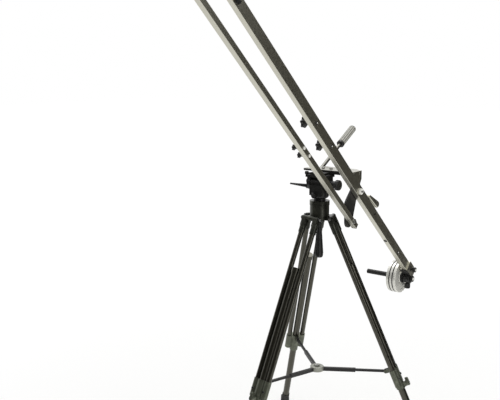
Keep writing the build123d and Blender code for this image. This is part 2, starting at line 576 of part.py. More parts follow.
# Spreader frame at azimuth 0: local X runs inward and down along an arm from its leg pin
slope = math.radians(ARM_SLOPE)
ARM = Plane(
    origin=(SPREAD_R, 0, SPREAD_Z),
    x_dir=(-math.cos(slope), 0, -math.sin(slope)),
    z_dir=(-math.sin(slope), 0, math.cos(slope)),
)
HUB_Z = SPREAD_Z - (SPREAD_R - HUB_R) * math.tan(slope)
hub = Pos(0, 0, HUB_Z) * Cylinder(HUB_R, HUB_H)
hub = fillet(hub.edges().group_by(Axis.Z)[-1], 3)
half = ARM_W / 2
slot_half = half + GAP
channel_out = ARM_L - ARM_LAP
channel_in = (SPREAD_R - HUB_R) / math.cos(slope)
wall_half = slot_half + CHANNEL_WALL
channel = box((channel_out, -wall_half, -half - 4), (channel_in + 14, wall_half, half + 3))
channel -= box((0, -slot_half, -20), (channel_in, slot_half, half + 1.5))
for tag, az in LEG_AZIMUTHS.items():
    # the arm, hinged on the leg and running in a channel of the hub
    arm = box((0, -half, -half), (ARM_L, half, half))
    arm += cyl((0, -ARM_BARREL, 0), (0, ARM_BARREL, 0), ARM_W)
    arm -= cyl((0, -2 * ARM_W, 0), (0, 2 * ARM_W, 0), PIN_R + FIT)
    put(f"spreader_arm_{tag}", Rot(0, 0, az) * (ARM * arm))
    hub += Rot(0, 0, az) * (ARM * channel)
put("spreader_hub", hub)

# Fluid head: pan base, drum with the tilt trunnion, and the tilting cradle
TRUNNION_R = PLATE_RISE - QUICK_T - CRADLE_T - 2
SIDE_R = TRUNNION_R + 3
DRUM_H = TILT_Z - SIDE_R - 7.7 - DRUM_Z
DRUM_MID = DRUM_Z + DRUM_H / 2
put("pan_base", Pos(0, 0, HEAD_FOOT + PAN_H / 2) * Cylinder(PAN_R, PAN_H))
body = Pos(0, 0, DRUM_MID) * Cylinder(DRUM_R, DRUM_H)
body = fillet(body.edges().group_by(Axis.Z)[0], DRUM_H * 0.4)
neck_x, neck_y = TRUNNION_W / 2 - 2, DRUM_R - 6
body += box((-neck_x, -neck_y, DRUM_MID), (neck_x, neck_y, TILT_Z - 4))
body += cyl((-TRUNNION_W / 2, 0, TILT_Z), (TRUNNION_W / 2, 0, TILT_Z), TRUNNION_R)
body -= cyl((-TRUNNION_W, 0, TILT_Z), (TRUNNION_W, 0, TILT_Z), AXLE_R)
body -= cyl((0, -2 * DRUM_R, DRUM_MID), (0, -DRUM_R + 14, DRUM_MID), STUD_R + FIT)
put("head_body", body)

half_d = CRADLE_D / 2
cradle = box((-CRADLE_HALF, -half_d, CRADLE_Z), (CRADLE_HALF, half_d, QUICK_Z))
for s in (-1, 1):
    x0, x1 = s * (TRUNNION_W / 2 + SIDE_GAP), s * CRADLE_HALF
    cradle += cyl((x0, 0, TILT_Z), (x1, 0, TILT_Z), SIDE_R)
    cradle += box((x0, -SIDE_R + 5, TILT_Z), (x1, SIDE_R - 5, QUICK_Z - 2))
cradle += cyl((-TRUNNION_W / 2 - 5, 0, TILT_Z), (TRUNNION_W / 2 + 5, 0, TILT_Z), AXLE_R - FIT)

# Rosette and pin of the pan handle, on a lug of the left cheek
rosette_x = -CRADLE_HALF - ROSETTE_T
boss_w = 2 * HANDLE_R
boss_x = rosette_x - GAP
pin_x = boss_x - boss_w - GAP
lug_root = Pos(0, TILT_Z) * Circle(SIDE_R)
lug_end = Pos(HANDLE_BACK, TILT_Z) * Circle(ROSETTE_R)
cradle += side_plate(-CRADLE_HALF, SIDE_T, lug_root, lug_end)
cradle += cyl((-CRADLE_HALF + 1, HANDLE_BACK, TILT_Z), (rosette_x, HANDLE_BACK, TILT_Z), ROSETTE_R)
cradle += cyl((rosette_x + 1, HANDLE_BACK, TILT_Z), (pin_x - 1, HANDLE_BACK, TILT_Z), STUD_R)
cradle += Plane(origin=(pin_x, HANDLE_BACK, TILT_Z), z_dir=(-1, 0, 0)) * knob(ROSETTE_R - 3, 14, 8)
cradle -= cyl((CRADLE_HALF - 6, 0, TILT_Z), (CRADLE_HALF * 2, 0, TILT_Z), STUD_R + FIT)
TILT_LOCK_Z = TILT_Z - TILT_LOCK_DROP
cradle -= cyl((-CRADLE_HALF + 6, 0, TILT_LOCK_Z), (-CRADLE_HALF * 2, 0, TILT_LOCK_Z), STUD_R + FIT)
put("tilt_cradle", cradle)

LOCK_Y = 12 - QUICK_FRONT
LOCK_Z = PLATE_Z - QUICK_T / 2
quick = box((-QUICK_W / 2, -QUICK_FRONT, QUICK_Z), (QUICK_W / 2, QUICK_REAR, PLATE_Z))
quick = chamfer(quick.edges().filter_by(Axis.Z), 5)
quick -= cyl((-QUICK_W, LOCK_Y, LOCK_Z), (-QUICK_W / 2 + 10, LOCK_Y, LOCK_Z), 2.5 + FIT)
put("quick_plate", quick)

# Knobs and levers of the head
drag_in = CRADLE_HALF + 36
drag = cyl((CRADLE_HALF - 4, 0, TILT_Z), (CRADLE_HALF + 14, 0, TILT_Z), STUD_R)
drag += cyl((CRADLE_HALF + GAP, 0, TILT_Z), (drag_in + 2, 0, TILT_Z), DRAG_R * 0.7)
drag += Plane(origin=(drag_in, 0, TILT_Z), z_dir=(1, 0, 0)) * knob(DRAG_R, DRAG_T, 14)
put("drag_knob", drag)
tip = (-CRADLE_HALF - 62, -LEVER_REACH, TILT_LOCK_Z + 16)
tilt_lever = cyl((-CRADLE_HALF - 14, 0, TILT_LOCK_Z), (-CRADLE_HALF + 4, 0, TILT_LOCK_Z), STUD_R)
tilt_lever += cyl((-CRADLE_HALF - 18, 0, TILT_LOCK_Z), (-CRADLE_HALF - GAP, 0, TILT_LOCK_Z), 13)
tilt_lever += cyl((-CRADLE_HALF - 12, -2, TILT_LOCK_Z), tip, 9, 4)
tilt_lever += Pos(*tip) * Sphere(4.5)
put("tilt_lever", tilt_lever)
lock = cyl((-CRADLE_HALF + 4, LOCK_Y, LOCK_Z), (-QUICK_W / 2 + 8, LOCK_Y, LOCK_Z), 2.5)
lock += cyl((-CRADLE_HALF - 4, LOCK_Y, LOCK_Z), (-QUICK_W / 2 - 5, LOCK_Y, LOCK_Z), QUICK_T / 2 - 1)
lock += Plane(origin=(-CRADLE_HALF - GAP, LOCK_Y, LOCK_Z), z_dir=(-1, 0, 0)) * knob(9, 14, 6)
put("plate_lock", lock)
pan_lock = cyl((0, -DRUM_R - 14, DRUM_MID), (0, -DRUM_R + 10, DRUM_MID), STUD_R)
pan_lock += Plane(origin=(0, -DRUM_R - GAP, DRUM_MID), z_dir=(0, -1, 0)) * knob(PAN_LOCK_R, 18, 6)
put("pan_lock", pan_lock)

# Pan handle: a boss on the rosette's pin, a round shaft and a ribbed grip
rise = math.radians(HANDLE_ANGLE)
handle_dir = (0, math.cos(rise), math.sin(rise))
HANDLE = Plane(origin=(boss_x - boss_w / 2, HANDLE_BACK, TILT_Z), x_dir=(1, 0, 0), z_dir=handle_dir)
handle = cyl((-boss_w / 2, 0, 0), (boss_w / 2, 0, 0), ROSETTE_R - 1)
handle += cyl((0, 0, 0), (0, 0, HANDLE_L), HANDLE_R)
handle -= cyl((-boss_w, 0, 0), (boss_w, 0, 0), STUD_R + FIT)
put("pan_handle", HANDLE * handle)
g0 = HANDLE_L - GRIP_L
grip = turned(
    (0, HANDLE_L + 2), (GRIP_R - 4, HANDLE_L + 2), (GRIP_R, HANDLE_L - 2), (GRIP_R, g0 + 12),
    (GRIP_R + 2, g0 + 10), (GRIP_R + 2, g0 + 1), (GRIP_R + 1, g0), (HANDLE_R, g0), (HANDLE_R, HANDLE_L),
    (0, HANDLE_L),
)
put("handle_grip", HANDLE * grip)

os.makedirs("parts", exist_ok=True)
for name, shape in PARTS.items():
    export_step(shape, f"parts/{name}.step")
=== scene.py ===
# %% [markdown]
# # A camera crane on a video tripod
# This lesson dresses a finished CAD model in Blender. The crane has two parallel bars that pivot on a
# plate, weights at the low end and a camera platform at the high end, and it stands on a tripod with a
# fluid head. The CAD pieces already have the right shape and place, so most of the work is materials,
# light, and small parts that are too fine for the CAD model.

# %% Load the CAD frame
import json
import math

import bpy
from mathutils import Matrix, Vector


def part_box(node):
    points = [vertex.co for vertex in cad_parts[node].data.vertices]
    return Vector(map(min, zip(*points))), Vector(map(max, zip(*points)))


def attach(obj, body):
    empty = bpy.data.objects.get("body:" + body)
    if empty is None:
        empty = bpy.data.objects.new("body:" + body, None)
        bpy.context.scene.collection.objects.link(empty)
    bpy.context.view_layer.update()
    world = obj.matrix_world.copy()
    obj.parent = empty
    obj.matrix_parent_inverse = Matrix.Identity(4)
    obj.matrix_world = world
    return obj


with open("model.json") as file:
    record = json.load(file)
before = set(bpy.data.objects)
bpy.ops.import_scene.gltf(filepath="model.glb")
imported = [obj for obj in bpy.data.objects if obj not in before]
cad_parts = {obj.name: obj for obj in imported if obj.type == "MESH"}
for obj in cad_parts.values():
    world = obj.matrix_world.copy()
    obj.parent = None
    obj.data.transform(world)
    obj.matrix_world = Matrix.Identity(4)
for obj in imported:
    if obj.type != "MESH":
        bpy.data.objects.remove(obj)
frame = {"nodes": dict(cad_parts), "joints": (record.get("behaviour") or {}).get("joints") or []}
nodes = frame["nodes"]
joints = {joint["name"]: joint for joint in frame["joints"]}
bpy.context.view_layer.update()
print("CAD pieces:", len(nodes), "joints:", len(joints))

# %% [markdown]
# ## Places to measure from
# Everything is in metres in the CAD model's own frame, with Z up and the camera end towards -Y. Most places
# come from the joints, because a joint knows where its bolt is. The boom leans, so two directions help: one
# along the bars to the camera end, and one square to them, upwards.

# %% Boom directions and pivots
BOOM_SLOPE = math.radians(41.4)
ALONG = Vector((0, -math.cos(BOOM_SLOPE), math.sin(BOOM_SLOPE)))
ABOVE = Vector((0, math.sin(BOOM_SLOPE), math.cos(BOOM_SLOPE)))
boom_pivot = Vector(joints["boom_lift"]["pos_m"])
lower_pivot = Vector(joints["lower_bar_pivot"]["pos_m"])
camera_pivot = Vector(joints["camera_end_pivot"]["pos_m"])
handle_pin = Vector(joints["handle_angle"]["pos_m"])
HANDLE_SLOPE = math.radians(30.5)
HANDLE_RUN = Vector((0, math.cos(HANDLE_SLOPE), math.sin(HANDLE_SLOPE)))
print("boom pivot", [round(c, 3) for c in boom_pivot], "handle pin", [round(c, 3) for c in handle_pin])

# %% [markdown]
# ## Colours and nodes
# Colours are written as sRGB hex values, the way a colour picker shows them. Shaders work in linear
# light, so one function converts them. A second small function adds a node, sets its properties, and
# fills or links its inputs, which keeps each material short enough to read.


# %% Two small helpers
def linear(hex_value):
    channels = [int(hex_value[i:i + 2], 16) / 255 for i in (1, 3, 5)]
    return [c / 12.92 if c <= 0.04045 else ((c + 0.055) / 1.055) ** 2.4 for c in channels] + [1.0]


def add(tree, kind, inputs=None, **settings):
    made = tree.nodes.new(kind)
    for name, value in settings.items():
        setattr(made, name, value)
    for name, value in (inputs or {}).items():
        socket = made.inputs[name]
        if isinstance(value, bpy.types.NodeSocket):
            tree.links.new(value, socket)
        else:
            socket.default_value = value
    return made


def start_material(name):
    material = bpy.data.materials.new(name)
    material.use_nodes = True
    tree = material.node_tree
    tree.nodes.clear()
    shader = add(tree, "ShaderNodeBsdfPrincipled")
    add(tree, "ShaderNodeOutputMaterial", {"Surface": shader.outputs["BSDF"]})
    coords = add(tree, "ShaderNodeTexCoord")
    return material, tree, shader, coords.outputs["Object"]


# %% [markdown]
# ## Anodised aluminium
# The bars are extruded aluminium tube with a satin olive-grey anodised skin, and the leg tubes are the same
# stock in black. Extrusion leaves faint lines along the tube, so the noise is turned to the slope of the
# piece and stretched along it. The real lines are about a tenth of a millimetre wide; they are drawn near
# 2 mm wide so that they show at all. A second, broad noise gives the slight mottling of handled metal.
# To the eye, this metal is dark where it mirrors a dark room and pale where it mirrors the floor. The same
# function serves the milled camera platform and the blackened weight rod, which have tool marks one way too.


# %% Anodised finishes
LINES_MM = 2.0


def extruded_skin(name, dark, light, roughness, metallic, turn):
    material, tree, shader, coords = start_material(name)
    across = 1000 / LINES_MM
    turned = add(tree, "ShaderNodeMapping", {"Vector": coords, "Rotation": turn})
    lines = add(tree, "ShaderNodeMapping", {"Vector": turned.outputs[0], "Scale": (across, 2, across)})
    streak = add(tree, "ShaderNodeTexNoise", {"Vector": lines.outputs[0], "Scale": 1.0, "Detail": 3.0})
    cloud = add(tree, "ShaderNodeTexNoise", {"Vector": coords, "Scale": 9.0, "Detail": 4.0})
    blend = add(tree, "ShaderNodeMix", {0: 0.45, 2: streak.outputs[0], 3: cloud.outputs[0]})
    colour = add(tree, "ShaderNodeMix", {0: blend.outputs[0], 6: linear(dark), 7: linear(light)},
                 data_type="RGBA")
    rough = add(tree, "ShaderNodeMapRange", {
        "Value": streak.outputs[0], "To Min": roughness - 0.04, "To Max": roughness + 0.06})
    bump = add(tree, "ShaderNodeBump", {"Height": streak.outputs[0], "Strength": 0.02, "Distance": 0.0003})
    tree.links.new(colour.outputs[2], shader.inputs["Base Color"])
    tree.links.new(rough.outputs[0], shader.inputs["Roughness"])
    tree.links.new(bump.outputs[0], shader.inputs["Normal"])
    shader.inputs["Metallic"].default_value = metallic
    return material


UPRIGHT = (math.pi / 2, 0, 0)
CROSSWISE = (0, 0, math.pi / 2)
bar_skin = extruded_skin("anodised_aluminium_olive", "#bcbaad", "#d2d0c3", 0.3, 0.97, (BOOM_SLOPE, 0, 0))
plate_skin = extruded_skin("milled_aluminium", "#b3b2aa", "#cfcec6", 0.32, 0.92, (0, 0, 0))
tube_skin = extruded_skin("anodised_aluminium_black", "#484740", "#5e5c54", 0.28, 0.95, UPRIGHT)
rod_skin = extruded_skin("blackened_steel", "#1c1c1c", "#2b2b2a", 0.46, 0.4, CROSSWISE)
print("anodised finishes:", bar_skin.name, tube_skin.name)

# %% [markdown]
# ## Painted castings
# The bowl, the leg castings and the head are die castings with a sprayed coat. Fine droplets leave a grain
# of about half a millimetre, drawn here at 1.5 mm, and handling rubs the raised spots a little brighter.
# The coat on the bowl and on the leg castings and their levers has metal flakes in it, so they are partly
# metallic. To the eye, the head is a soft black, and the legs' castings are grey-green with a broad sheen.


# %% Sprayed paint
DROPLET_MM = 1.5


def sprayed_paint(name, coat, worn, roughness, metallic=0.0):
    material, tree, shader, coords = start_material(name)
    grain = add(tree, "ShaderNodeTexNoise", {"Vector": coords, "Scale": 1000 / DROPLET_MM, "Detail": 2.0})
    wear = add(tree, "ShaderNodeTexNoise", {
        "Vector": coords, "Scale": 30.0, "Detail": 6.0, "Roughness": 0.65})
    spots = add(tree, "ShaderNodeMapRange", {"Value": wear.outputs[0], "From Min": 0.52, "From Max": 0.75})
    colour = add(tree, "ShaderNodeMix", {0: spots.outputs[0], 6: linear(coat), 7: linear(worn)},
                 data_type="RGBA")
    rough = add(tree, "ShaderNodeMapRange", {
        "Value": wear.outputs[0], "To Min": roughness + 0.08, "To Max": roughness - 0.1})
    bump = add(tree, "ShaderNodeBump", {"Height": grain.outputs[0], "Strength": 0.25, "Distance": 0.0004})
    tree.links.new(colour.outputs[2], shader.inputs["Base Color"])
    tree.links.new(rough.outputs[0], shader.inputs["Roughness"])
    tree.links.new(bump.outputs[0], shader.inputs["Normal"])
    shader.inputs["Metallic"].default_value = metallic
    return material


casting_paint = sprayed_paint("die_cast_grey_green", "#5b5e52", "#7d8071", 0.38, metallic=0.65)
head_paint = sprayed_paint("die_cast_black", "#131312", "#201f1d", 0.42)
bowl_paint = sprayed_paint("die_cast_charcoal", "#3a3b35", "#57584e", 0.32, metallic=0.75)
cheek_paint = sprayed_paint("powder_coat_black", "#141413", "#22211f", 0.5)
print("painted finishes:", casting_paint.name, head_paint.name)

# %% [markdown]
# ## Pieces in two finishes, and pieces with painted shade
# Five pieces change colour across an edge. Two are real two-tone parts: the handle's grip has a black ring at
# its lower end, and the spreader's hub is pale with black channels. Three carry painted shade: the fulcrum
# plate is bare above the bar and painted black below it for the shade between the bars, the weight hanger's
# sleeve is bare and its eye painted black for the shade under the bar's end, and the base plate is bright on
# top and painted black round its edge for the shade on its sides.
# Painting a second material on some faces would need the edge in the mesh. Instead the material measures how
# far a point lies beyond a plane, or from the tripod's axis, and a step turns that into a mask.


# %% Two-tone finishes and painted shade
EDGE_BLUR = 0.0003


def split_finish(name, near, far, edge=None, beyond=None, radius=0.0):
    material, tree, shader, coords = start_material(name)
    if radius:
        away = add(tree, "ShaderNodeVectorMath", {0: coords, 1: (1, 1, 0)}, operation="MULTIPLY")
        past = add(tree, "ShaderNodeVectorMath", {0: away.outputs[0]}, operation="LENGTH")
    else:
        away = add(tree, "ShaderNodeVectorMath", {0: coords, 1: edge}, operation="SUBTRACT")
        past = add(tree, "ShaderNodeVectorMath", {0: away.outputs[0], 1: beyond}, operation="DOT_PRODUCT")
    mask = add(tree, "ShaderNodeMapRange", {
        "Value": past.outputs["Value"], "From Min": radius - EDGE_BLUR, "From Max": radius + EDGE_BLUR})
    cloud = add(tree, "ShaderNodeTexNoise", {"Vector": coords, "Scale": 60.0, "Detail": 6.0})
    grain = add(tree, "ShaderNodeTexNoise", {"Vector": coords, "Scale": 700.0, "Detail": 2.0})
    tones = []
    for dark, light, roughness, metallic in (near, far):
        tone = add(tree, "ShaderNodeMix", {0: cloud.outputs[0], 6: linear(dark), 7: linear(light)},
                   data_type="RGBA")
        tones.append(tone.outputs[2])
    colour = add(tree, "ShaderNodeMix", {0: mask.outputs[0], 6: tones[0], 7: tones[1]}, data_type="RGBA")
    rough = add(tree, "ShaderNodeMapRange", {"Value": mask.outputs[0], "To Min": near[2], "To Max": far[2]})
    metal = add(tree, "ShaderNodeMapRange", {"Value": mask.outputs[0], "To Min": near[3], "To Max": far[3]})
    bump = add(tree, "ShaderNodeBump", {"Height": grain.outputs[0], "Strength": 0.15, "Distance": 0.0003})
    tree.links.new(colour.outputs[2], shader.inputs["Base Color"])
    tree.links.new(rough.outputs[0], shader.inputs["Roughness"])
    tree.links.new(metal.outputs[0], shader.inputs["Metallic"])
    tree.links.new(bump.outputs[0], shader.inputs["Normal"])
    return material


BARE = ("#bcbaad", "#d2d0c3", 0.32, 0.97)
BLACK = ("#121211", "#1f1e1c", 0.48, 0.0)
GRIP_GREY = ("#64635c", "#7b7a72", 0.5, 0.0)
BRIGHT = ("#aaa9a1", "#c2c1b9", 0.34, 0.9)
PALE = ("#8d8e84", "#a9aaa0", 0.4, 0.5)
UP = Vector((0, 0, 1))
TOP_SKIN = 0.0009
HUB_EDGE = 0.0344
SLEEVE_LOW = 0.0265
RING_AT = 0.325
base_low, base_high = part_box("jib_base")
# Painted shade: the base plate is painted black on its edge and underside, for the shade on its sides.
base_skin = split_finish("milled_aluminium_black_edge", BLACK, BRIGHT, base_high - UP * TOP_SKIN, UP)
hub_skin = split_finish("die_cast_hub_black_channels", PALE, BLACK, radius=HUB_EDGE)
# Painted shade: below the bar's axis the fulcrum plate is painted black, for the shade between the bars.
cheek_skin = split_finish("aluminium_half_powder_coated", BLACK, BARE, boom_pivot, ABOVE)
# Painted shade: the hanger's eye below its sleeve is painted black, for the shade under the bar's end.
hanger_skin = split_finish("aluminium_with_black_eye", BLACK, BARE, boom_pivot - ABOVE * SLEEVE_LOW, ABOVE)
ring_end = handle_pin + HANDLE_RUN * RING_AT
grip_skin = split_finish("rubber_grip_with_ring", BLACK, GRIP_GREY, ring_end, HANDLE_RUN)
print("two-tone finishes:", base_skin.name, hub_skin.name, grip_skin.name)

# %% [markdown]
# ## Moulded plastic and rubber
# Knobs and the head's levers are moulded plastic, with a spark-eroded grain from the mould. The feet are
# rubber, which is rougher and a little dusty where it has stood on floors. To the eye, the plastic is a dull
# black with a grey bloom, and the rubber is flatter and browner. Caps and bushes are plain white nylon.


# %% Moulded finishes
def moulded(name, base, dusty, roughness, grain_mm, dust):
    material, tree, shader, coords = start_material(name)
    grain = add(tree, "ShaderNodeTexVoronoi", {"Vector": coords, "Scale": 1000 / grain_mm})
    patches = add(tree, "ShaderNodeTexNoise", {"Vector": coords, "Scale": 45.0, "Detail": 5.0})
    film = add(tree, "ShaderNodeMapRange", {
        "Value": patches.outputs[0], "From Min": 0.4, "From Max": 0.8, "To Max": dust})
    colour = add(tree, "ShaderNodeMix", {0: film.outputs[0], 6: linear(base), 7: linear(dusty)},
                 data_type="RGBA")
    rough = add(tree, "ShaderNodeMapRange", {
        "Value": patches.outputs[0], "To Min": roughness - 0.07, "To Max": roughness + 0.1})
    bump = add(tree, "ShaderNodeBump", {"Height": grain.outputs[0], "Strength": 0.2, "Distance": 0.0003})
    tree.links.new(colour.outputs[2], shader.inputs["Base Color"])
    tree.links.new(rough.outputs[0], shader.inputs["Roughness"])
    tree.links.new(bump.outputs[0], shader.inputs["Normal"])
    return material


knob_plastic = moulded("moulded_nylon_black", "#121211", "#2a2926", 0.42, 1.2, 0.4)
washer_nylon = moulded("nylon_white", "#e4e3dc", "#c9c7bd", 0.45, 1.2, 0.5)
foot_rubber = moulded("rubber_black", "#1b1b1a", "#4b4843", 0.75, 1.5, 0.8)
rib_rubber = moulded("rubber_grey", "#a3a29a", "#bdbcb3", 0.5, 1.5, 0.8)
print("moulded finishes:", knob_plastic.name, rib_rubber.name)

# %% [markdown]
# ## Bright metal
# Bolts and the handle's shaft are plated steel. Plating is a mirror with a few fine scratches, so to the eye
# it is as bright or dark as what it mirrors: a dark streak of curtain between two pale ones.


# %% Plated metal
def plated(name, tint, smudge, roughness):
    material, tree, shader, coords = start_material(name)
    marks = add(tree, "ShaderNodeTexNoise", {
        "Vector": coords, "Scale": 120.0, "Detail": 6.0, "Roughness": 0.7})
    colour = add(tree, "ShaderNodeMix", {0: marks.outputs[0], 6: linear(tint), 7: linear(smudge)},
                 data_type="RGBA")
    rough = add(tree, "ShaderNodeMapRange", {
        "Value": marks.outputs[0], "To Min": roughness - 0.06, "To Max": roughness + 0.12})
    bump = add(tree, "ShaderNodeBump", {"Height": marks.outputs[0], "Strength": 0.04, "Distance": 0.0003})
    tree.links.new(colour.outputs[2], shader.inputs["Base Color"])
    tree.links.new(rough.outputs[0], shader.inputs["Roughness"])
    tree.links.new(bump.outputs[0], shader.inputs["Normal"])
    shader.inputs["Metallic"].default_value = 1.0
    return material


steel = plated("zinc_plated_steel", "#c4c4c0", "#9a9a96", 0.28)
chrome = plated("chrome_plated_steel", "#7f7e78", "#66655f", 0.3)
print("plated finishes:", steel.name, chrome.name)

# %% [markdown]
# ## Turned weights
# The three weights are turned iron under a thin silver enamel that is only partly metal, so their faces stay
# pale even in front of the dark curtain. The lathe tool cut rings about 0.3 mm apart, drawn here at 3 mm. At
# the two gaps between the plates a near-black band is painted in as the shade that falls there. The stack is
# even about its middle, so the distance to the nearer groove is found from the distance to the middle.

# %% Weight finish
PLATE_PITCH = 0.0185
GROOVE_DARK, GROOVE_SHADE_END = 0.0029, 0.0035
low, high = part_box("weight_plates")
stack_middle = (low + high) / 2
weight_metal, tree, shader, coords = start_material("silver_enamelled_iron")
moved = add(tree, "ShaderNodeVectorMath", {0: coords, 1: stack_middle}, operation="SUBTRACT").outputs[0]
rings = add(tree, "ShaderNodeTexWave", {"Vector": moved, "Scale": 105.0},
            wave_type="RINGS", rings_direction="X")
marks = add(tree, "ShaderNodeTexNoise", {"Vector": coords, "Scale": 90.0, "Detail": 6.0})
enamel = add(tree, "ShaderNodeMix", {0: marks.outputs[0], 6: linear("#e6e5de"), 7: linear("#d0cfc7")},
             data_type="RGBA")
sideways = add(tree, "ShaderNodeSeparateXYZ", {"Vector": moved})
from_middle = add(tree, "ShaderNodeMath", {0: sideways.outputs["X"]}, operation="ABSOLUTE")
past = add(tree, "ShaderNodeMath", {0: from_middle.outputs[0], 1: PLATE_PITCH / 2}, operation="SUBTRACT")
to_groove = add(tree, "ShaderNodeMath", {0: past.outputs[0]}, operation="ABSOLUTE")
# Painted shade: the two gaps between plates are painted near-black and non-metallic, standing in for the
# shade there.
groove_shade = add(tree, "ShaderNodeMapRange", {
    "Value": to_groove.outputs[0], "From Min": GROOVE_DARK, "From Max": GROOVE_SHADE_END,
    "To Min": 1.0, "To Max": 0.0})
colour = add(tree, "ShaderNodeMix", {0: groove_shade.outputs[0], 6: enamel.outputs[2], 7: linear("#141412")},
             data_type="RGBA")
metal = add(tree, "ShaderNodeMapRange", {"Value": groove_shade.outputs[0], "To Min": 0.45, "To Max": 0.0})
rough = add(tree, "ShaderNodeMapRange", {"Value": marks.outputs[0], "To Min": 0.24, "To Max": 0.42})
bump = add(tree, "ShaderNodeBump", {"Height": rings.outputs[1], "Strength": 0.04, "Distance": 0.0003})
tree.links.new(colour.outputs[2], shader.inputs["Base Color"])
tree.links.new(metal.outputs[0], shader.inputs["Metallic"])
tree.links.new(rough.outputs[0], shader.inputs["Roughness"])
tree.links.new(bump.outputs[0], shader.inputs["Normal"])
print("weights turn about", [round(c, 3) for c in stack_middle])

# %% [markdown]
# ## Which piece has which finish
# Each CAD piece keeps its own mesh and gets one of these materials. Names that end in a, b or c are the same
# piece on each of the three legs, so the table gives the start of a name.

# %% Dress the CAD pieces
FINISHES = {
    "upper_rear_bar": bar_skin, "upper_front_bar": bar_skin, "lower_bar": bar_skin,
    "weight_hanger": hanger_skin, "front_bracket": bar_skin, "jib_base": base_skin,
    "camera_platform": plate_skin, "fulcrum_plate": cheek_skin, "fulcrum_bolts": steel, "front_bolts": steel,
    "bar_bolts": knob_plastic, "hinge_bolts": knob_plastic, "upper_knob": knob_plastic,
    "lower_knob": knob_plastic, "top_knob": bar_skin, "upper_end_cap": knob_plastic,
    "lower_end_caps": knob_plastic,
    "weight_rod": rod_skin, "weight_collar": rod_skin, "weight_plates": weight_metal,
    "collar_screw": steel, "hanger_knob": knob_plastic, "rod_knob": knob_plastic,
    "tripod_bowl": bowl_paint, "half_ball": bowl_paint, "tie_down": knob_plastic, "leg_top": bowl_paint,
    "leg_tubes": tube_skin, "leg_casting": casting_paint, "leg_lower": tube_skin, "leg_lever": casting_paint,
    "foot": foot_rubber, "spreader_arm": rod_skin, "spreader_hub": hub_skin, "pan_base": head_paint,
    "head_body": head_paint, "tilt_cradle": head_paint, "quick_plate": cheek_paint, "drag_knob": knob_plastic,
    "tilt_lever": knob_plastic, "plate_lock": knob_plastic, "pan_lock": knob_plastic, "pan_handle": chrome,
    "handle_grip": grip_skin,
}
for name, piece in nodes.items():
    start = max((key for key in FINISHES if name.startswith(key)), key=len)
    piece.data.materials.clear()
    piece.data.materials.append(FINISHES[start])
print("dressed", len(nodes), "pieces in", len(set(FINISHES.values())), "finishes")

# %% [markdown]
# ## Small repeated parts with Geometry Nodes
# Screw heads and ribs repeat many times, so each is built once as a node tree with named sizes and then set
# on points. A point carries a direction, called facing, that its copy turns to. The result is made into a
# plain mesh for each moving body, because copies inside a tree are lost when a model is exported.


# %% Helpers for node trees
def new_tree(name, sizes):
    tree = bpy.data.node_groups.new(name, "GeometryNodeTree")
    tree.interface.new_socket("Geometry", in_out="INPUT", socket_type="NodeSocketGeometry")
    for label, kind in sizes.items():
        tree.interface.new_socket(label, in_out="INPUT", socket_type="NodeSocket" + kind)
    tree.interface.new_socket("Geometry", in_out="OUTPUT", socket_type="NodeSocketGeometry")
    return tree, add(tree, "NodeGroupInput").outputs


def set_on_points(tree, points, shape):
    facing = add(tree, "GeometryNodeInputNamedAttribute", {"Name": "facing"}, data_type="FLOAT_VECTOR")
    turn = add(tree, "FunctionNodeAlignRotationToVector", {"Vector": facing.outputs[0]}, axis="Z")
    copies = add(tree, "GeometryNodeInstanceOnPoints", {
        "Points": points, "Instance": shape, "Rotation": turn.outputs[0]})
    return add(tree, "GeometryNodeRealizeInstances", {"Geometry": copies.outputs[0]}).outputs[0]


def plant(name, tree, body, slot, spots, **sizes):
    points = bpy.data.meshes.new(name + "_points")
    points.from_pydata([place for place, facing in spots], [], [])
    facings = points.attributes.new("facing", "FLOAT_VECTOR", "POINT")
    facings.data.foreach_set("vector", [c for place, facing in spots for c in facing])
    piece = bpy.data.objects.new(name, points)
    bpy.context.scene.collection.objects.link(piece)
    grow = piece.modifiers.new("grow", "NODES")
    grow.node_group = tree
    for item in tree.interface.items_tree:
        label = item.name.lower().replace(" ", "_")
        if item.in_out == "INPUT" and label in sizes:
            grow[item.identifier] = sizes[label]
    ready = piece.evaluated_get(bpy.context.evaluated_depsgraph_get())
    made = bpy.data.meshes.new_from_object(ready)
    piece.modifiers.remove(grow)
    piece.data = made
    made.name = name
    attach(piece, body)
    print(name, "on", body, len(made.polygons), "faces")


# %% [markdown]
# ## Screw heads
# The crane is held together by socket screws. A cylinder with its top edge drawn in makes the head, a
# six-sided cylinder cut out of it makes the socket, and a flat disc below makes the washer. With six sides
# the same tree gives a hexagon bolt.

# %% Fastener tree
fastener, given = new_tree("fastener", {
    "Sides": "Int", "Head radius": "Float", "Head height": "Float", "Socket radius": "Float",
    "Washer radius": "Float", "Washer height": "Float",
    "Head finish": "Material", "Washer finish": "Material"})
half = add(fastener, "ShaderNodeMath", {0: given["Head height"], 1: 0.5}, operation="MULTIPLY").outputs[0]
head = add(fastener, "GeometryNodeMeshCylinder", {
    "Vertices": given["Sides"], "Side Segments": 3,
    "Radius": given["Head radius"], "Depth": given["Head height"]})
spot = add(fastener, "GeometryNodeInputPosition").outputs[0]
drawn_in = add(fastener, "ShaderNodeVectorMath", {0: spot, 1: (0.85, 0.85, 1)}, operation="MULTIPLY")
head = add(fastener, "GeometryNodeSetPosition", {
    "Geometry": head.outputs["Mesh"], "Selection": head.outputs["Top"], "Position": drawn_in.outputs[0]})
cutter = add(fastener, "GeometryNodeMeshCylinder", {
    "Vertices": 6, "Radius": given["Socket radius"], "Depth": given["Head height"]})
to_top = add(fastener, "ShaderNodeCombineXYZ", {"Z": half})
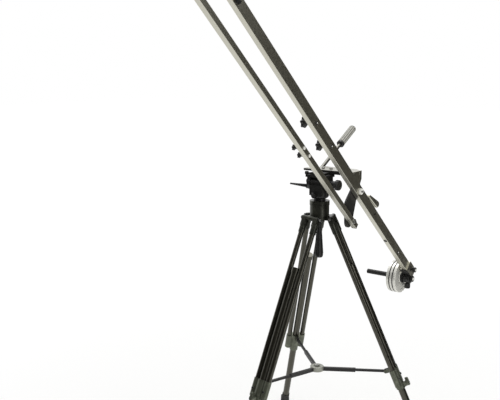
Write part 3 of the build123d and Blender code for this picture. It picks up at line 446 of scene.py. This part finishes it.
cutter = add(fastener, "GeometryNodeTransform", {
    "Geometry": cutter.outputs["Mesh"], "Translation": to_top.outputs[0]})
head = add(fastener, "GeometryNodeMeshBoolean", {
    "Mesh 1": head.outputs["Geometry"], "Mesh 2": cutter.outputs["Geometry"]}, operation="DIFFERENCE")
lift = add(fastener, "ShaderNodeMath", {0: given["Washer height"], 1: half}, operation="ADD").outputs[0]
lift = add(fastener, "ShaderNodeCombineXYZ", {"Z": lift})
head = add(fastener, "GeometryNodeTransform", {
    "Geometry": head.outputs["Mesh"], "Translation": lift.outputs[0]})
washer = add(fastener, "GeometryNodeMeshCylinder", {
    "Vertices": 40, "Radius": given["Washer radius"], "Depth": given["Washer height"]})
rise = add(fastener, "ShaderNodeMath", {0: given["Washer height"], 1: 0.5}, operation="MULTIPLY").outputs[0]
rise = add(fastener, "ShaderNodeCombineXYZ", {"Z": rise})
washer = add(fastener, "GeometryNodeTransform", {
    "Geometry": washer.outputs["Mesh"], "Translation": rise.outputs[0]})
washer = add(fastener, "GeometryNodeStoreNamedAttribute", {
    "Geometry": washer.outputs["Geometry"], "Name": "washer", "Value": True},
    data_type="BOOLEAN", domain="FACE")
screw = add(fastener, "GeometryNodeJoinGeometry", {"Geometry": head.outputs["Geometry"]})
fastener.links.new(washer.outputs["Geometry"], screw.inputs["Geometry"])
placed = set_on_points(fastener, given["Geometry"], screw.outputs["Geometry"])
is_washer = add(fastener, "GeometryNodeInputNamedAttribute", {"Name": "washer"}, data_type="BOOLEAN")
dressed = add(fastener, "GeometryNodeSetMaterial", {"Geometry": placed, "Material": given["Head finish"]})
dressed = add(fastener, "GeometryNodeSetMaterial", {
    "Geometry": dressed.outputs[0], "Selection": is_washer.outputs[0], "Material": given["Washer finish"]})
add(fastener, "NodeGroupOutput", {"Geometry": dressed.outputs[0]})
print("fastener tree:", len(fastener.nodes), "nodes")

# %% [markdown]
# ### Pivot bolts
# Four bolts carry the two bars, two at the fulcrum plate and two at the camera end. The lower ones clamp a
# steel washer against the near face of their bar. The upper ones turn in a white nylon bush, with only a
# small black bolt head showing in its middle.

# %% Pivot bolts
NEAR = Vector((1, 0, 0))
BAR_HALF = 0.0127
BOLT_GAP = 0.0004
FACE_OUT = NEAR * (BAR_HALF + BOLT_GAP)
HEX_BOLT = dict(sides=6, head_radius=0.0097, head_height=0.0068, socket_radius=0.0035,
                washer_radius=0.0146, washer_height=0.0024)
BUSH = dict(sides=6, head_radius=0.0055, head_height=0.003, socket_radius=0.0025,
            washer_radius=0.0145, washer_height=0.0091)
lower_camera_pivot = camera_pivot + lower_pivot - boom_pivot
for name, body, high_bolt, low_bolt in (
    ("fulcrum_hex_bolt", "tilt_top", boom_pivot, lower_pivot),
    ("camera_hex_bolt", "camera_end", camera_pivot, lower_camera_pivot),
):
    plant(name + "_upper", fastener, body, "chrome", [(high_bolt + FACE_OUT, NEAR)],
          head_finish=rod_skin, washer_finish=washer_nylon, **BUSH)
    plant(name + "_lower", fastener, body, "chrome", [(low_bolt + FACE_OUT, NEAR)],
          head_finish=rod_skin, washer_finish=steel, **HEX_BOLT)

# %% [markdown]
# ### Clamp studs
# Each clamping knob pulls on a stud that goes right through its bar. On the near face the stud ends in a
# white nylon cap on the lower bar, and in a smaller one with a dark ring on the upper bar.

# %% Clamp studs
STUD_GAP = 0.0002
BUTTON = dict(sides=24, head_radius=0.0068, head_height=0.0034, socket_radius=0.0026,
              washer_radius=0.0082, washer_height=0.0009)
SUNK = dict(sides=24, head_radius=0.0033, head_height=0.0012, socket_radius=0.0018,
            washer_radius=0.0076, washer_height=0.0037)
for knob_name, ring, sizes in (
    ("upper_knob_1", rod_skin, SUNK), ("upper_knob_2", rod_skin, SUNK),
    ("lower_knob_1", steel, BUTTON), ("lower_knob_2", steel, BUTTON),
):
    stud = Vector(joints[knob_name + "_turn"]["pos_m"])
    stud.x = boom_pivot.x + BAR_HALF + STUD_GAP
    plant(knob_name + "_button", fastener, knob_name, "chrome", [(stud, NEAR)],
          head_finish=washer_nylon, washer_finish=ring, **sizes)

# %% [markdown]
# ### End caps
# The near end of the weight rod and the face of the hanger's knob each carry a small pale cap. A box round
# a piece gives its near face, so each cap sits on the outermost point of its own piece.

# %% End caps
CAP = dict(sides=24, head_height=0.0022, socket_radius=0.0018, washer_height=0.0006)
rod_low, rod_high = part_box("weight_rod")
rod_end = Vector((rod_high.x, (rod_low.y + rod_high.y) / 2, (rod_low.z + rod_high.z) / 2))
plant("rod_end_cap", fastener, "boom", "chrome", [(rod_end, NEAR)], head_radius=0.0075, washer_radius=0.011,
      head_finish=washer_nylon, washer_finish=steel, **CAP)
knob_face = Vector(joints["hanger_knob_turn"]["pos_m"])
knob_face.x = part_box("hanger_knob")[1].x
plant("hanger_knob_cap", fastener, "hanger_knob", "chrome", [(knob_face, NEAR)], head_radius=0.0065,
      washer_radius=0.0078, head_finish=washer_nylon, washer_finish=steel, **CAP)

# %% [markdown]
# ### Plugs in the upper bar
# The rear section of the upper bar has two small details: a pale screw inside the threaded ring on its near
# face, and a dark rubber plug in its underside. Both are placed along the bar from the pivot.

# %% Bar plugs
RING_BACK, RING_DROP, RING_GAP = 0.568, 0.005, 0.0005
PLUG_BACK, BAR_HALF_HIGH = 0.42, 0.0254
ring_spot = boom_pivot - ALONG * RING_BACK - ABOVE * RING_DROP + NEAR * (BAR_HALF + RING_GAP)
plant("ring_screw", fastener, "boom", "chrome", [(ring_spot, NEAR)], head_radius=0.0036, washer_radius=0.0048,
      head_finish=washer_nylon, washer_finish=rod_skin, **CAP)
plug_spot = boom_pivot - ALONG * PLUG_BACK - ABOVE * BAR_HALF_HIGH
plant("underside_plug", fastener, "boom", "rubber", [(plug_spot, -ABOVE)], head_radius=0.0072,
      washer_radius=0.0095, head_finish=knob_plastic, washer_finish=foot_rubber, **CAP)

# %% [markdown]
# ### Plate screws
# Socket screws hold the base plate to the head and to the fulcrum plate's flange, and the camera platform to
# its bracket. Their heads cover the plain heads of the CAD model.

# %% Plate screws
FORWARD = Vector((0, -1, 0))
CAP_SCREW = dict(sides=24, head_height=0.0066, socket_radius=0.0042, washer_height=0.0008)
PLATE_T = 0.008
CHEEK_BACK = 0.042
BASE_SPREAD, FLANGE_SPREAD, TAB_SPREAD = 0.0224, 0.02688, 0.014
FLANGE_DOWN, TAB_DOWN = 0.028, 0.014
cheek_mid = base_low.y + CHEEK_BACK
spots = [(Vector((x, cheek_mid, base_high.z)), UP) for x in (-BASE_SPREAD, BASE_SPREAD)]
plant("base_cap_screws", fastener, "tilt_top", "chrome", spots, head_radius=0.0084, washer_radius=0.0098,
      head_finish=steel, washer_finish=steel, **CAP_SCREW)
flange = Vector((base_high.x - PLATE_T, cheek_mid, base_high.z - FLANGE_DOWN))
spots = [(flange + FORWARD * side * FLANGE_SPREAD, -NEAR) for side in (1, -1)]
plant("flange_cap_screws", fastener, "tilt_top", "chrome", spots, head_radius=0.0074, washer_radius=0.0088,
      head_finish=steel, washer_finish=steel, **CAP_SCREW)
stage_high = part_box("camera_platform")[1]
tab = Vector((boom_pivot.x, stage_high.y - PLATE_T, stage_high.z - TAB_DOWN))
spots = [(tab + NEAR * side * TAB_SPREAD, FORWARD) for side in (-1, 1)]
plant("platform_cap_screws", fastener, "camera_end", "chrome", spots, head_radius=0.0052,
      washer_radius=0.0065, head_finish=steel, washer_finish=steel, **CAP_SCREW)

# %% [markdown]
# ### Tripod screws
# Each leg hinges on a bolt whose two ends carry a socket screw, and two more screws pinch each casting round
# the leg's tubes. A leg's joints give its hinge point, its direction across and its direction down.

# %% Tripod screws
HINGE_END = 0.0575
TUBE_OUT = 0.036
PINCH_DOWN = 0.845
CASTING_OUT = 0.0158
HUB_TOP = 0.4521
SMALL_CAP = dict(sides=24, head_radius=0.0052, head_height=0.0034, socket_radius=0.0026,
                 washer_radius=0.0066, washer_height=0.0006)
hinge_spots = []
for tag in "abc":
    hip = Vector(joints[f"leg_{tag}_fold"]["pos_m"])
    across = Vector(joints[f"leg_{tag}_fold"]["axis"])
    down = Vector(joints[f"leg_{tag}_extend"]["axis"])
    outward = across.cross(down).normalized()
    if outward.dot(Vector((hip.x, hip.y, 0))) < 0:
        outward = -outward
    hinge_spots += [(hip + across * side * HINGE_END, across * side) for side in (-1, 1)]
    casting = hip + down * PINCH_DOWN + outward * CASTING_OUT
    pinch = [(casting + across * side * TUBE_OUT, outward) for side in (-1, 1)]
    plant(f"casting_screws_{tag}", fastener, f"leg_{tag}", "chrome", pinch,
          head_finish=rod_skin, washer_finish=steel, **SMALL_CAP)
plant("hinge_screws", fastener, "tripod_top", "chrome", hinge_spots,
      head_finish=steel, washer_finish=steel, **SMALL_CAP)
plant("hub_screw", fastener, "spreader_hub", "chrome", [(Vector((0, 0, HUB_TOP)), UP)], sides=24,
      head_radius=0.009, head_height=0.0045, socket_radius=0.0042, washer_radius=0.016, washer_height=0.0012,
      head_finish=steel, washer_finish=casting_paint)

# %% [markdown]
# ## Ribs to hold on to
# The handle's grip has ribs along it, and so has the tie-down under the bowl. One rib is a line with a round
# profile that thins to both ends. Points at the middle turn it round the axis, and the two ends of the
# line may have different radii, so the same tree serves a straight grip and a tapered one.

# %% Rib tree
ribs, given = new_tree("ribs", {
    "Count": "Int", "Length": "Float", "Bottom radius": "Float", "Top radius": "Float", "Rib radius": "Float",
    "Finish": "Material"})
start = add(ribs, "ShaderNodeCombineXYZ", {"X": given["Bottom radius"]})
end = add(ribs, "ShaderNodeCombineXYZ", {"X": given["Top radius"], "Z": given["Length"]})
line = add(ribs, "GeometryNodeCurvePrimitiveLine", {"Start": start.outputs[0], "End": end.outputs[0]})
line = add(ribs, "GeometryNodeResampleCurve", {"Curve": line.outputs[0], "Count": 13})
along = add(ribs, "GeometryNodeSplineParameter").outputs["Factor"]
turned = add(ribs, "ShaderNodeMath", {0: along, 1: math.pi}, operation="MULTIPLY")
swell = add(ribs, "ShaderNodeMath", {0: turned.outputs[0]}, operation="SINE")
swell = add(ribs, "ShaderNodeMath", {0: swell.outputs[0], 1: 0.4}, operation="POWER")
swell = add(ribs, "ShaderNodeMath", {0: swell.outputs[0], 1: 0.15}, operation="MAXIMUM")
line = add(ribs, "GeometryNodeSetCurveRadius", {"Curve": line.outputs[0], "Radius": swell.outputs[0]})
ring = add(ribs, "GeometryNodeCurvePrimitiveCircle", {"Resolution": 8, "Radius": given["Rib radius"]})
rib = add(ribs, "GeometryNodeCurveToMesh", {
    "Curve": line.outputs[0], "Profile Curve": ring.outputs[0], "Fill Caps": True})
middle = add(ribs, "GeometryNodePoints", {"Count": given["Count"]})
index = add(ribs, "GeometryNodeInputIndex").outputs[0]
step = add(ribs, "ShaderNodeMath", {0: 2 * math.pi, 1: given["Count"]}, operation="DIVIDE")
angle = add(ribs, "ShaderNodeMath", {0: index, 1: step.outputs[0]}, operation="MULTIPLY")
angle = add(ribs, "ShaderNodeCombineXYZ", {"Z": angle.outputs[0]})
angle = add(ribs, "FunctionNodeEulerToRotation", {0: angle.outputs[0]})
wheel = add(ribs, "GeometryNodeInstanceOnPoints", {
    "Points": middle.outputs[0], "Instance": rib.outputs[0], "Rotation": angle.outputs[0]})
wheel = add(ribs, "GeometryNodeRealizeInstances", {"Geometry": wheel.outputs[0]})
placed = set_on_points(ribs, given["Geometry"], wheel.outputs[0])
dressed = add(ribs, "GeometryNodeSetMaterial", {"Geometry": placed, "Material": given["Finish"]})
add(ribs, "NodeGroupOutput", {"Geometry": dressed.outputs[0]})
print("rib tree:", len(ribs.nodes), "nodes")

# %% Ribs on the grip and the tie-down
RIB_LINE_R = 0.0164
RING_CLEAR = 0.004
TIE_CLEAR = 0.018
plant("grip_ribs", ribs, "handle", "rubber", [(ring_end + HANDLE_RUN * RING_CLEAR, HANDLE_RUN)],
      count=11, length=0.128, bottom_radius=RIB_LINE_R, top_radius=RIB_LINE_R, rib_radius=0.0032,
      finish=rib_rubber)
tie_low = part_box("tie_down")[0]
plant("tie_down_ribs", ribs, "tie_down", "black_plastic", [(Vector((0, 0, tie_low.z + TIE_CLEAR)), UP)],
      count=14, length=0.108, bottom_radius=0.0204, top_radius=0.0125, rib_radius=0.0018, finish=knob_plastic)

# %% [markdown]
# ## Floor, light and camera
# The studio is a white floor and a white surround, with a dark curtain on the camera's side. The metal
# mirrors that curtain, so the bars look dark on their sides and pale below, where they mirror the floor. The
# curtain shows only in reflections: it is hidden from the camera and from soft light, and casts no shadow.
# Far from the object the floor glows plain white to the eye. Near it, half is painted floor, which keeps
# a soft shadow. A lamp on the right draws a pale line down each leg tube.


# %% Floor and surround
def eye_rays(tree):
    path = add(tree, "ShaderNodeLightPath").outputs
    direct = add(tree, "ShaderNodeMath", {0: path["Is Camera Ray"], 1: path["Is Glossy Ray"]},
                 operation="MAXIMUM")
    return add(tree, "ShaderNodeMath", {0: direct.outputs[0], 1: path["Is Transmission Ray"]},
               operation="MAXIMUM").outputs[0]


FLOOR_HALF = 30
PAINTED_TO, WHITE_FROM = 0.8, 3.0
corners = [(x * FLOOR_HALF, y * FLOOR_HALF, 0) for x, y in ((-1, -1), (1, -1), (1, 1), (-1, 1))]
floor_mesh = bpy.data.meshes.new("studio_floor")
floor_mesh.from_pydata(corners, [], [(0, 1, 2, 3)])
floor = bpy.data.objects.new("studio_floor", floor_mesh)
bpy.context.scene.collection.objects.link(floor)
floor_paint, tree, shader, coords = start_material("white_studio_floor")
shader.inputs["Base Color"].default_value = linear("#f2f2f0")
shader.inputs["Roughness"].default_value = 0.9
away = add(tree, "ShaderNodeVectorMath", {0: coords}, operation="LENGTH")
fade = add(tree, "ShaderNodeMapRange", {
    "Value": away.outputs["Value"], "From Min": PAINTED_TO, "From Max": WHITE_FROM,
    "To Min": 0.5, "To Max": 1.0})
part_white = add(tree, "ShaderNodeMath", {0: eye_rays(tree), 1: fade.outputs[0]}, operation="MULTIPLY")
white = add(tree, "ShaderNodeEmission", {"Color": (1, 1, 1, 1), "Strength": 1.03})
both = add(tree, "ShaderNodeMixShader", {0: part_white.outputs[0], 1: shader.outputs[0], 2: white.outputs[0]})
tree.links.new(both.outputs[0], tree.nodes["Material Output"].inputs["Surface"])
floor_mesh.materials.append(floor_paint)

world = bpy.data.worlds.new("white_surround")
bpy.context.scene.world = world
world.use_nodes = True
tree = world.node_tree
level = add(tree, "ShaderNodeMapRange", {"Value": eye_rays(tree), "To Min": 0.75, "To Max": 1.0})
tree.links.new(level.outputs[0], tree.nodes["Background"].inputs["Strength"])
tree.nodes["Background"].inputs["Color"].default_value = (1, 1, 1, 1)

# %% Dark curtain
CURTAIN_R = 2.8
CURTAIN_FROM, CURTAIN_TO = -150, 105
CURTAIN_LOW, CURTAIN_HIGH = 0.02, 3.0
CURTAIN_STEPS = 24
curtain_points = []
curtain_faces = []
for i in range(CURTAIN_STEPS + 1):
    angle = math.radians(CURTAIN_FROM + (CURTAIN_TO - CURTAIN_FROM) * i / CURTAIN_STEPS)
    for height in (CURTAIN_LOW, CURTAIN_HIGH):
        curtain_points.append((CURTAIN_R * math.cos(angle), CURTAIN_R * math.sin(angle), height))
    if i:
        curtain_faces.append((2 * i - 2, 2 * i, 2 * i + 1, 2 * i - 1))
curtain_mesh = bpy.data.meshes.new("dark_curtain")
curtain_mesh.from_pydata(curtain_points, [], curtain_faces)
curtain = bpy.data.objects.new("dark_curtain", curtain_mesh)
bpy.context.scene.collection.objects.link(curtain)
curtain_cloth, tree, shader = start_material("dark_curtain_cloth")[:3]
shader.inputs["Base Color"].default_value = linear("#34322a")
shader.inputs["Roughness"].default_value = 1.0
curtain_mesh.materials.append(curtain_cloth)
curtain.visible_camera = False
curtain.visible_shadow = False
curtain.visible_diffuse = False
print("curtain from", CURTAIN_FROM, "to", CURTAIN_TO, "degrees")


# %% Lamps and camera
def softbox(name, place, aim, size, power):
    lamp = bpy.data.lights.new(name, "AREA")
    lamp.shape = "DISK"
    lamp.size = size
    lamp.energy = power
    holder = bpy.data.objects.new(name, lamp)
    holder.location = place
    holder.rotation_euler = (Vector(aim) - Vector(place)).to_track_quat("-Z", "Y").to_euler()
    bpy.context.scene.collection.objects.link(holder)


softbox("overhead_softbox", (-0.8, 1.2, 4.6), (0, 0, 1.2), 3.0, 70)
softbox("side_softbox", (3.5, -1.4, 1.3), (0, 0, 0.7), 1.2, 30)

# The camera was worked out from the bars' edges in the photograph
lens = bpy.data.cameras.new("camera")
lens.sensor_width = 36.0
lens.lens = 54.87
camera = bpy.data.objects.new("camera", lens)
camera.location = (1.9368, -3.0952, 1.940)
camera.rotation_euler = (math.radians(80.006), 0, math.radians(37.339))
bpy.context.scene.collection.objects.link(camera)
bpy.context.scene.camera = camera
bpy.context.scene.view_settings.view_transform = "Standard"
print("camera at", [round(c, 3) for c in camera.location])
